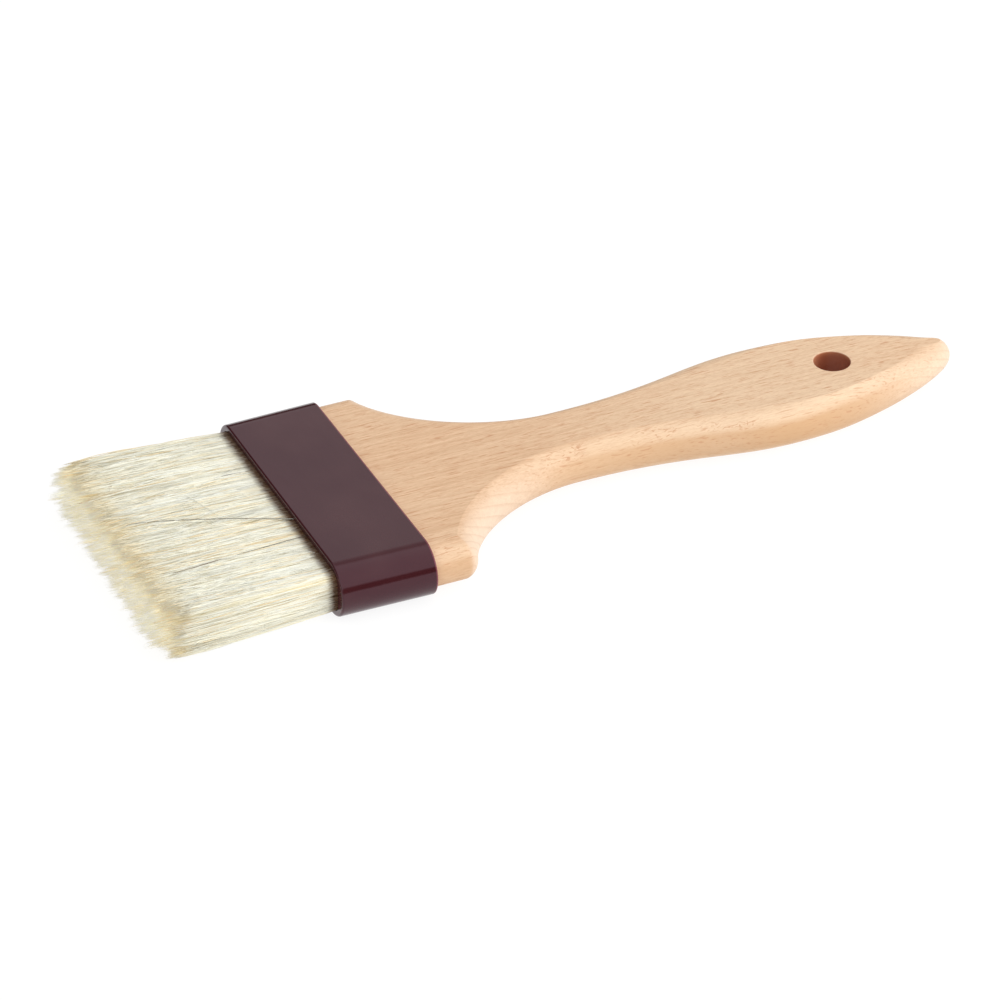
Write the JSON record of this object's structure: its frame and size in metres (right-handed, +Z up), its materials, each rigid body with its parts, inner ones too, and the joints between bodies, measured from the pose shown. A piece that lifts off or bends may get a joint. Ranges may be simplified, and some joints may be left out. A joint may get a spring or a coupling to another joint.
{
  "type": "pastry brush",
  "caption": "Flat pastry brush with natural bristles, a glossy plastic ferrule and a shaped beech handle with a hanging hole.",
  "frame": {"origin": "the middle of the base: under the middle of the overall length, on the plane that the flat of the ferrule rests on", "axes": "+X runs along the brush from the bristles to the tip of the handle, +Y is the width, +Z is up out of the flat face"},
  "size_m": [0.2246, 0.0774, 0.014],
  "materials": {
    "beech": "unfinished fine-sanded beech with dark flecks along the grain",
    "oxblood_plastic": "glossy dark oxblood moulded plastic",
    "epoxy": "cast amber-brown epoxy",
    "filler_wood": "plain sawn strip",
    "bristle_root": "hair butts packed in epoxy",
    "bristle": "natural off-white boar bristle"
  },
  "bodies": {
    "handle_and_ferrule": {"handle": "beech", "ferrule": "oxblood_plastic", "epoxy_set": "epoxy", "filler_strip": "filler_wood", "bristle_roots_upper": "bristle_root", "bristle_roots_lower": "bristle_root"},
    "bristle_pack": {"bristle_bank_upper": "bristle", "bristle_bank_lower": "bristle"}
  },
  "joints": [
    {"name": "bristle_flex", "type": "hinge", "parent": "handle_and_ferrule", "child": "bristle_pack", "pos_m": [-0.0683, 0, 0.007], "axis": [0, 1, 0], "range_deg": [-40, 40], "stiffness_Nm_per_rad": 0.25}
  ]
}
